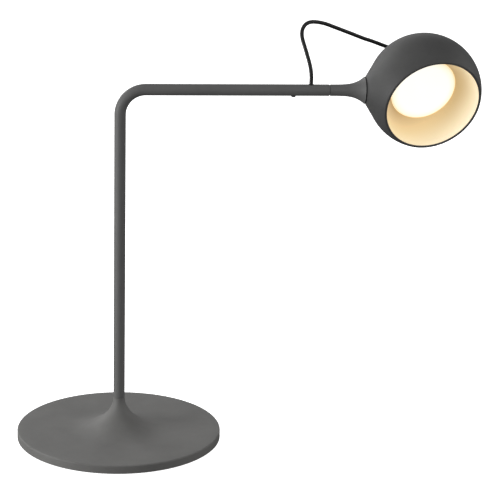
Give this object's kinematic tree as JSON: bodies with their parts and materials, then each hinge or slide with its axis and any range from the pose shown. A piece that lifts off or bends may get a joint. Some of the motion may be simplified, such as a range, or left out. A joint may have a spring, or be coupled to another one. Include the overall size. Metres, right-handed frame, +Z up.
{
  "type": "desk lamp",
  "caption": "Desk lamp with a round weighted base, a slim bent-tube stem and arm, and a ball head on a swivel with a wide mouth, a cream reflector and an opal diffuser.",
  "frame": {"origin": "centre of the underside of the base, on the axis of the post", "axes": "+Z up, +X along the arm towards the head, +Y to the back of the lamp, where the lead comes in"},
  "size_m": [0.4251, 0.1922, 0.3938],
  "materials": {
    "graphite_paint": "fine matte powder coat",
    "ballast_iron": "oiled",
    "plated_steel": "zinc plated",
    "bare_aluminium": "bare",
    "black_rubber": "matte",
    "cord_black": "smooth matte jacket",
    "cream_reflector": "satin cream",
    "opal_diffuser": "opal, lit from behind",
    "dark_plastic": "moulded",
    "white_plastic": "moulded",
    "circuit_board": "solder mask",
    "led_board_white": "white solder mask",
    "led_phosphor": "phosphor",
    "wire_red": "smooth"
  },
  "bodies": {
    "stand": {"foot_pad": "black_rubber", "bottom_plate": "plated_steel", "base_screws": "plated_steel", "ballast_disc": "ballast_iron", "base_cover": "graphite_paint", "stem_spigot": "plated_steel", "stem_washer": "plated_steel", "stem_nut": "plated_steel", "lead_gland": "black_rubber", "lead_clamp": "plated_steel", "clamp_screws": "plated_steel", "stem_tube": "graphite_paint", "inner_lead": "cord_black", "arm_grommet": "black_rubber", "switch_board": "circuit_board", "switch_body": "plated_steel", "button_spring": "plated_steel", "neck": "graphite_paint", "neck_spigot": "plated_steel", "neck_screw": "plated_steel", "swivel_bolt": "plated_steel", "friction_washer": "black_rubber", "spring_washer": "plated_steel", "swivel_nut": "plated_steel", "head_cord_rise": "cord_black"},
    "button": {"dimmer_button": "black_rubber"},
    "head": {"swivel_bush": "white_plastic", "cord_gland": "black_rubber", "gland_nut": "plated_steel", "head_cord_fall": "cord_black", "head_shell": "graphite_paint", "carrier_ring": "dark_plastic", "heat_sink": "bare_aluminium", "led_board": "led_board_white", "led_chips": "led_phosphor", "reflector": "cream_reflector", "diffuser": "opal_diffuser", "diffuser_ring": "dark_plastic", "head_screws": "plated_steel", "terminal_block": "white_plastic", "head_wires": "wire_red"}
  },
  "joints": [
    {"name": "button_press", "type": "slide", "parent": "stand", "child": "button", "axis": [0, 0, 1], "range_m": [0, 0.0006], "stiffness_N_per_m": 1500, "springref_m": -0.0004, "deforming": ["button_spring"]},
    {"name": "head_roll", "type": "hinge", "parent": "stand", "child": "head", "pos_m": [0.277, 0, 0.333], "axis": [1, 0, 0], "range_deg": [-31, 135], "deforming": ["head_cord_rise", "head_cord_fall"]}
  ]
}
